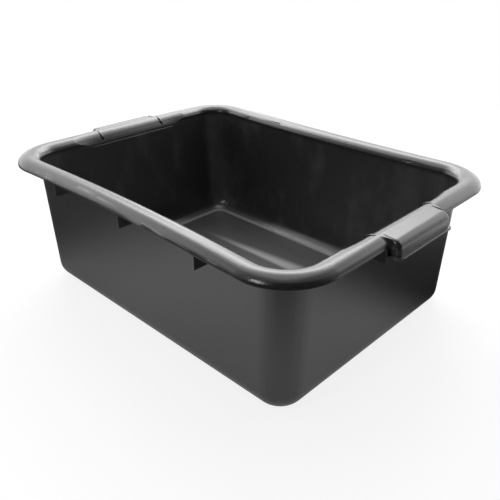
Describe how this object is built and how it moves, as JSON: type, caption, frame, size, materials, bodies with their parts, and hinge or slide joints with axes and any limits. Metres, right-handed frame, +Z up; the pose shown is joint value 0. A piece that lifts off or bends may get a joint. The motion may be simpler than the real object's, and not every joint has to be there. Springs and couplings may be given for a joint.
{
  "type": "bus tub",
  "caption": "Open rectangular plastic tub with tapered walls, a wide rolled rim stiffened by small fins, and a hooded lifting handle at each end.",
  "frame": {"origin": "middle of the footprint, on the surface the tub stands on", "axes": "+X along the tub from one handle to the other, +Y across the tub, +Z up"},
  "size_m": [0.543, 0.388, 0.181],
  "materials": {
    "tub_plastic": "black moulded plastic, satin, slightly glossy inside"
  },
  "bodies": {
    "root": {"tub": "tub_plastic"}
  },
  "joints": []
}
